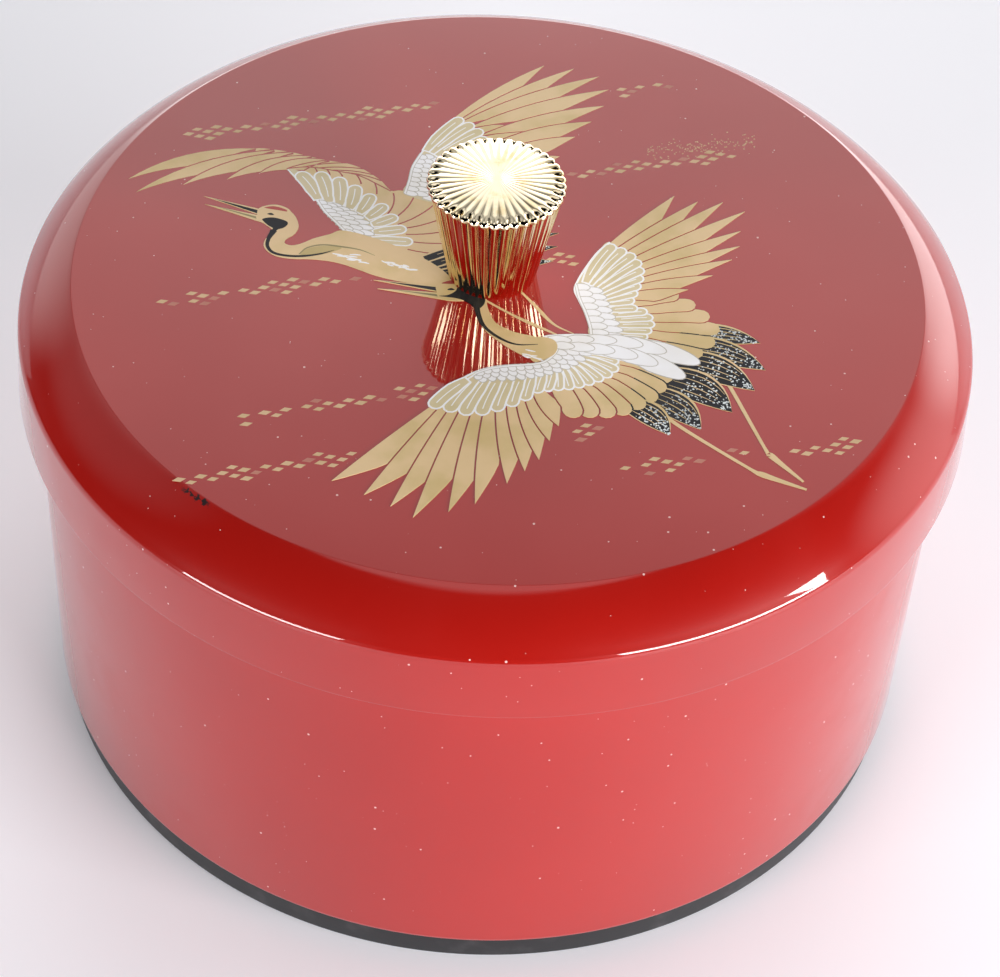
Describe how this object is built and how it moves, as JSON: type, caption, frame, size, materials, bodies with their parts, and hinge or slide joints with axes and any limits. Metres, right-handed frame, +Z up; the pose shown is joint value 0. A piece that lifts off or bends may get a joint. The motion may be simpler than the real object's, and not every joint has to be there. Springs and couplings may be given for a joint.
{
  "type": "lacquer box",
  "caption": "Round lacquer sweet box: a hollow tub on a black foot ring, an overlapping lift-off lid with a sloping shoulder and a flat decorated top, and a fluted gold knob.",
  "frame": {"origin": "middle of the underside, on the surface the box stands on", "axes": "+Z up along the axis of the tub and lid, +X to the right and -Y towards a viewer who sees the lid's picture upright"},
  "size_m": [0.212, 0.212, 0.1396],
  "materials": {
    "red_lacquer": "high-gloss red lacquer",
    "black_foot": "satin black",
    "gold_plate": "polished pale gold plate"
  },
  "bodies": {
    "root": {"foot_ring": "black_foot", "tub": "red_lacquer", "lid": "red_lacquer", "knob": "gold_plate"}
  },
  "joints": []
}
